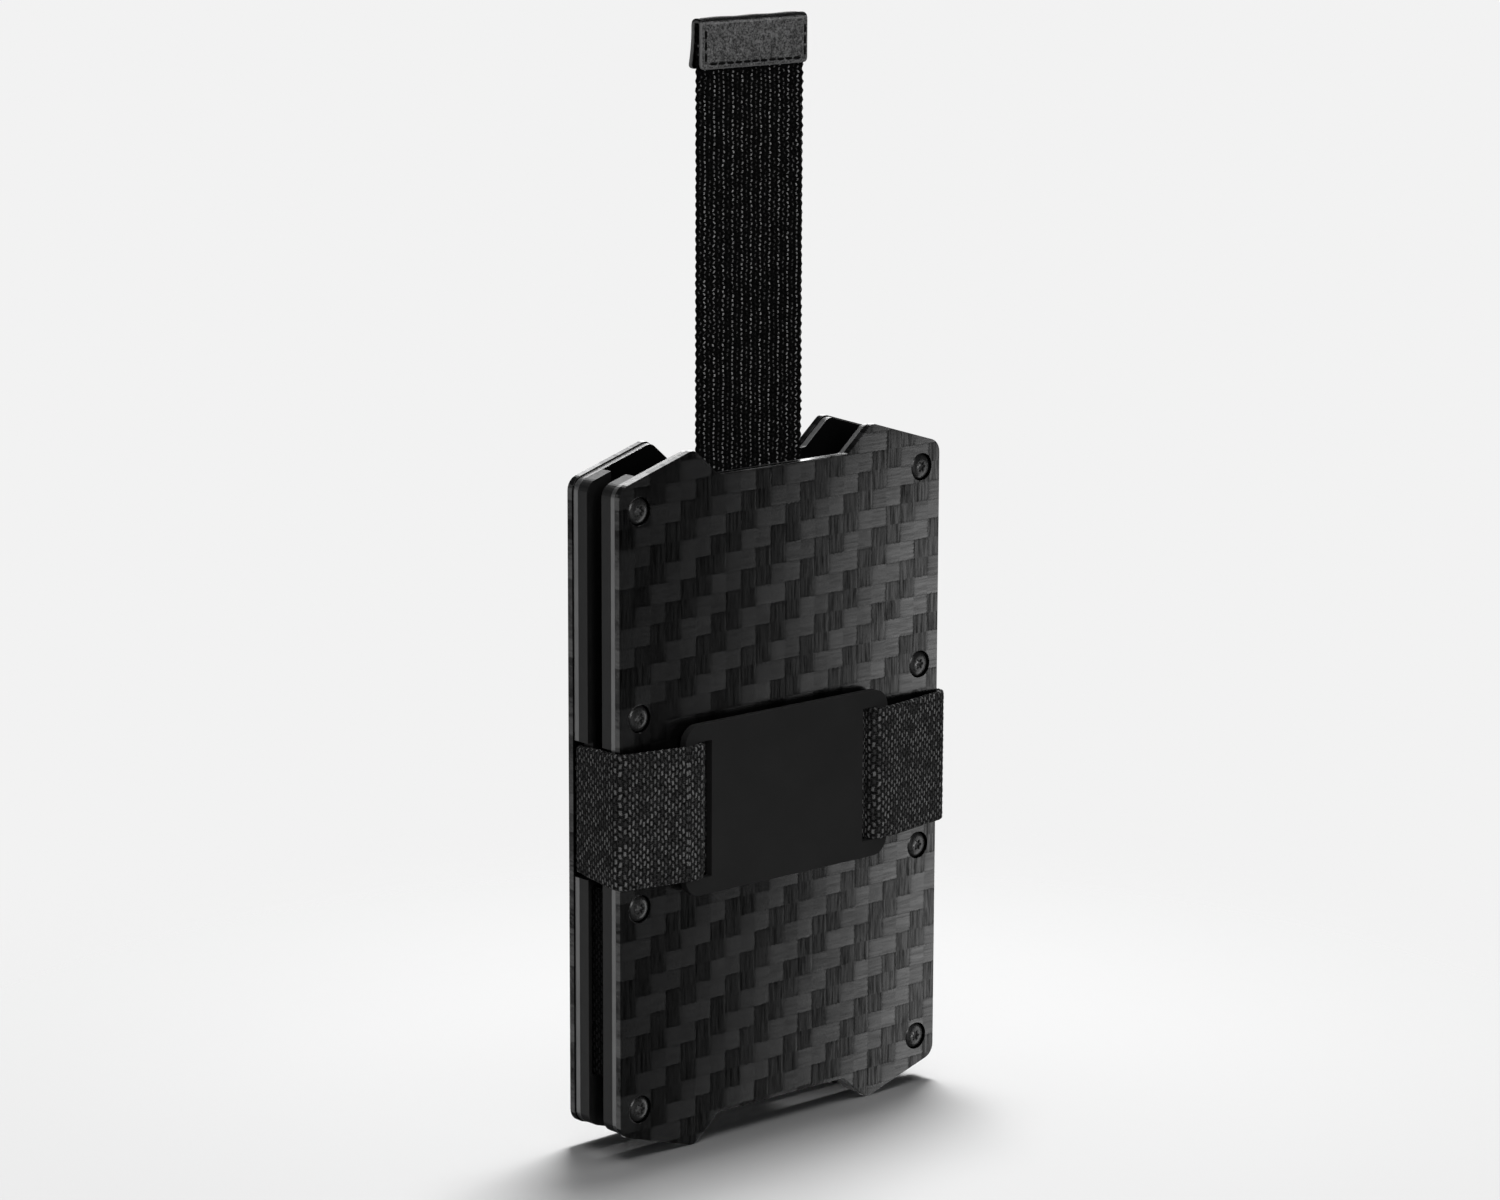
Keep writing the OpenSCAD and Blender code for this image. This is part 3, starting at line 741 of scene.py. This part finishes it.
LEATHER_T = 0.7 * MM
TAB_SLACK = 0.15 * MM                     # how far the leather's faces stay inside the CAD tab's
TAB_FOOT = TAB_LOW.z - 0.25 * MM
LINE_LEFT, LINE_RIGHT, LINE_LOW = 0.9 * MM, 0.6 * MM, 0.8 * MM   # the stitch lines, in from the edges


def tab_path():
    """The leather's middle line from the front flap's lower edge over the fold to the rear flap's."""
    mid_y = (TAB_LOW.y + TAB_HIGH.y) / 2
    reach = (TAB_HIGH.y - TAB_LOW.y) / 2 - TAB_SLACK - LEATHER_T / 2
    top = TAB_HIGH.z - LEATHER_T / 2
    return rounded_path([(mid_y - reach, TAB_FOOT), (mid_y - reach, top),
                         (mid_y + reach, top), (mid_y + reach, TAB_FOOT)], [0.7 * MM, 0.7 * MM])


def build_tab():
    """Folded leather with rounded lower corners, sunk along its stitch lines, puckered in its lower
    half, and with its rear flap standing off a little at the left."""
    flat, at = resampled(tab_path(), 0.12 * MM)
    t = tangents(flat)
    total = at[-1]
    half = (TAB_HIGH.x - TAB_LOW.x) / 2
    n, m = len(flat), 150
    corner_r, edge_r = 0.8 * MM, 0.22 * MM
    from_end = np.minimum(at, total - at)
    short = corner_r - np.clip(from_end, 0, corner_r)
    cut = corner_r - np.sqrt(np.clip(corner_r ** 2 - short ** 2, 0, None))
    width = half - cut
    v = np.sin(np.linspace(-np.pi / 2, np.pi / 2, m)) * 0.35 + np.linspace(-1, 1, m) * 0.65
    x = width[:, None] * v[None, :]
    height = np.broadcast_to(from_end[:, None], x.shape)
    near = np.minimum(width[:, None] - np.abs(x), height)
    side_line = np.where(x < 0, LINE_LEFT, LINE_RIGHT)
    inset = np.minimum((half - np.abs(x)) - side_line, height - LINE_LOW)
    # The dip along the stitch lines, which the leather's colour also darkens as painted shade.
    stitch_dip_and_shade = np.exp(-(inset / (0.20 * MM)) ** 2)
    fall = np.sqrt(np.clip(1 - (1 - np.clip(near / edge_r, 0, 1)) ** 2, 0.0, 1))
    # Puckers in the lower half: dents that the leather's colour also darkens as painted shade.
    crease_dent_and_shade = np.zeros_like(x)
    for share, lean, long in ((-0.60, 0.10, 3.6), (-0.04, -0.12, 3.0),
                              (0.32, 0.16, 3.9), (0.70, -0.10, 3.2)):
        middle = (share * half / MM + lean * (height / MM - 2)) * MM
        strength = (np.clip(1.4 - height / (long * MM), 0, 1)
                    * np.clip((height - LINE_LOW) / (0.6 * MM), 0, 1))
        crease_dent_and_shade += strength * np.exp(-((x - middle) / (0.38 * MM)) ** 2)
    puff = np.clip(inset / (1.4 * MM), 0, 1)
    wave = 0.04 * np.sin(x / MM * 0.9 + 1.0) * np.sin(height / MM * 1.1)
    rise = LEATHER_T / 2 + (-0.10 * stitch_dip_and_shade + 0.08 * puff * (2 - puff) - 0.13 * crease_dent_and_shade + wave * puff) * MM
    outer = rise * (0.35 + 0.65 * fall)
    inner = LEATHER_T / 2 * (0.35 + 0.65 * fall)
    normal = np.column_stack([-t[:, 1], t[:, 0]])
    rear = np.clip((at - total * 0.60) / (total * 0.40), 0, 1)[:, None] ** 2
    standing = rear * (0.12 + 0.65 * np.clip(-x / half, 0, 1) ** 3) * MM
    y_out = flat[:, :1] + standing + normal[:, :1] * outer
    z_out = flat[:, 1:] + normal[:, 1:] * outer
    y_in = flat[:, :1] + standing - normal[:, :1] * inner
    z_in = flat[:, 1:] - normal[:, 1:] * inner
    ring = np.concatenate([np.stack([x, y_out, z_out], -1), np.stack([x, y_in, z_in], -1)[:, ::-1]], axis=1)

    below_top = TAB_HIGH.z - z_out
    # Painted shade: the outer face turns black along the top of the fold, and the inner faces are black.
    over = np.clip((0.62 * MM - below_top) / (0.10 * MM), 0, 1)
    ridge = np.exp(-((below_top - 0.74 * MM) / (0.08 * MM)) ** 2)
    cut_edge = 1 - np.clip(near / (0.16 * MM) - 0.3, 0, 1)
    rim = np.maximum(cut_edge * (1 - over), 0.35 * ridge)
    dark = np.ones_like(x)

    def mark(front, back):
        return np.concatenate([front, back[:, ::-1]], axis=1).reshape(-1)

    marks = {"inside": mark(over, dark), "rim": mark(rim, 0.7 * cut_edge), "stitch_dip_and_shade": mark(stitch_dip_and_shade, 0 * dark),
             "crease_dent_and_shade": mark(np.clip(crease_dent_and_shade, 0, 1), 0 * dark)}
    tab = mesh_object("pull_tab_leather", ring.reshape(-1, 3), tube_faces(n, 2 * m), marks)
    finish_piece(tab, leather_material(), ["tab_leather"], body="tab")
    build_stitches(half)


def build_stitches(half):
    """Short thread lengths sunk in the leather, along both sides and the lower edge of each flap."""
    pitch, long, thick = 1.65 * MM, 1.25 * MM, 0.21 * MM
    low, top = TAB_FOOT + LINE_LOW, TAB_HIGH.z - 1.2 * MM
    left, right = -half + LINE_LEFT, half - LINE_RIGHT
    places = []
    across = int((right - left - 0.4 * MM) / pitch)
    for i in range(across):
        places.append(((left + right) / 2 + (i - (across - 1) / 2) * pitch, low, 0.0))
    up = int((top - low) / pitch)
    for x in (left, right):
        for i in range(up):
            places.append((x, low + (i + 0.6) * pitch, math.pi / 2))
    verts, faces = [], []
    for face_y in (TAB_LOW.y + TAB_SLACK + 0.05 * MM, TAB_HIGH.y - TAB_SLACK + 0.10 * MM):
        for x, z, turn in places:
            add_stitch(verts, faces, Vector((x, face_y, z)), turn, long, thick)
    stitches = mesh_object("pull_tab_stitches", verts, faces)
    finish_piece(stitches, thread_material(), ["tab_stitching"], body="tab")


def add_stitch(verts, faces, middle, turn, long, thick, rings=9, sides=10):
    """One plump stitch with tapered ends, lying in the XZ plane."""
    start = len(verts)
    c, s = math.cos(turn), math.sin(turn)
    for i in range(rings):
        a = -math.pi / 2 + math.pi * i / (rings - 1)
        along = long / 2 * math.sin(a)
        radius = thick * max(0.15, math.cos(a)) ** 0.6
        for k in range(sides):
            b = 2 * math.pi * k / sides
            side, out = radius * math.cos(b), radius * 0.9 * math.sin(b)
            verts.append((middle.x + along * c - side * s, middle.y + out, middle.z + along * s + side * c))
    faces += [[start + j for j in face] for face in tube_faces(rings, sides)]


# ---------------------------------------------------------------- screws

def screw_places():
    """Each screw's middle, from the box round the CAD's screws. Both plates have the same places."""
    low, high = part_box("front_screws")
    head_radius = 2.0 * MM
    x = high.x - head_radius
    outer = (high.z - low.z) / 2 - head_radius
    inner = 14.4 * MM                     # the middle screws' distance from the plate's middle
    mid = (low.z + high.z) / 2
    return [(sign * x, mid + z) for sign in (-1, 1) for z in (-outer, -inner, inner, outer)]


def build_screws():
    """Low button heads, sloping down to a gap round the rim, with a shallow six-lobed socket."""
    material = screw_material()
    turns = 72
    # radius, its six-lobed part and depth below the cover's face, from the rim inwards, in millimetres
    rings = [(1.96, 0, 1.05), (1.97, 0, 0.52), (1.93, 0, 0.43), (1.82, 0, 0.31), (1.62, 0, 0.18),
             (1.36, 0, 0.09), (1.12, 0, 0.05), (0.92, 0.06, 0.035), (0.71, 0.17, 0.04),
             (0.67, 0.17, 0.09), (0.65, 0.165, 0.55), (0.05, 0, 0.56)]
    for side, face_y, out in (("front", FACE_Y, -1), ("rear", REAR_COVER_HIGH.y, 1)):
        verts, faces, painted_socket_light = [], [], []
        for x, z in screw_places():
            start = len(verts)
            for radius, lobe, depth in rings:
                for k in range(turns):
                    a = 2 * math.pi * k / turns
                    r = (radius + lobe * math.cos(6 * a)) * MM
                    verts.append((x + r * math.cos(a), face_y - out * depth * MM, z + r * math.sin(a)))
                    # Marks the socket's bottom, which gets a painted highlight.
                    painted_socket_light.append(1.0 if 0.5 < depth < 1 and radius < 1 else 0.0)
            faces += [[start + j for j in face] for face in tube_faces(len(rings), turns)]
        heads = mesh_object(f"{side}_screw_heads", verts, faces, {"painted_socket_light": painted_socket_light})
        finish_piece(heads, material, [f"{side}_screws"], body=side)
        soften(heads, 35)


def soften(obj, degrees):
    """Smooth shading that still keeps edges sharper than an angle."""
    mesh = obj.data
    work = bmesh.new()
    work.from_mesh(mesh)
    for edge in work.edges:
        if len(edge.link_faces) == 2:
            edge.smooth = edge.calc_face_angle(0) < math.radians(degrees)
    work.to_mesh(mesh)
    work.free()


# ---------------------------------------------------------------- the CAD's own plates

def dress_plate(node, material, bevel_mm):
    """A CAD node keeps its shape, and gets a material and a small rounded edge."""
    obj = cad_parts[node]
    obj.data.materials.clear()
    obj.data.materials.append(material)
    weld = obj.modifiers.new("weld", "WELD")
    weld.merge_threshold = 1e-6
    flat = obj.modifiers.new("flat", "DECIMATE")
    flat.decimate_type = "DISSOLVE"
    flat.angle_limit = math.radians(0.5)
    bevel = obj.modifiers.new("bevel", "BEVEL")
    bevel.width = bevel_mm * MM
    bevel.segments = 3
    bevel.limit_method = "ANGLE"
    bevel.angle_limit = math.radians(40)
    normals = obj.modifiers.new("normals", "WEIGHTED_NORMAL")
    normals.keep_sharp = True
    normals.weight = 100


def dress_plates():
    carbon = carbon_material()
    # The liner's two faces get painted shade, near black, and its edges stay grey.
    liner = metal_material("liner_anodised_face_shade", 0.17, 0.36, shaded_face_level=0.01)
    dark = metal_material("frame_anodised", 0.022, 0.42, metallic=0.7)
    coat = coated_material("clip_coat", 0.0180, 0.72, 0.2)
    for side in ("front", "rear"):
        dress_plate(f"{side}_cover", carbon, 0.2)
        dress_plate(f"{side}_liner", liner, 0.22)
        dress_plate(f"{side}_frame", dark, 0.18)
    dress_plate("clip_plate", coat, 0.16)


# ---------------------------------------------------------------- everything

add_camera()
dress_plates()
build_screws()
build_band()
build_side_webs()
build_ribbon()
build_tab()
add_world()
add_lights(add_floor())

bpy.context.scene.view_settings.view_transform = "Standard"
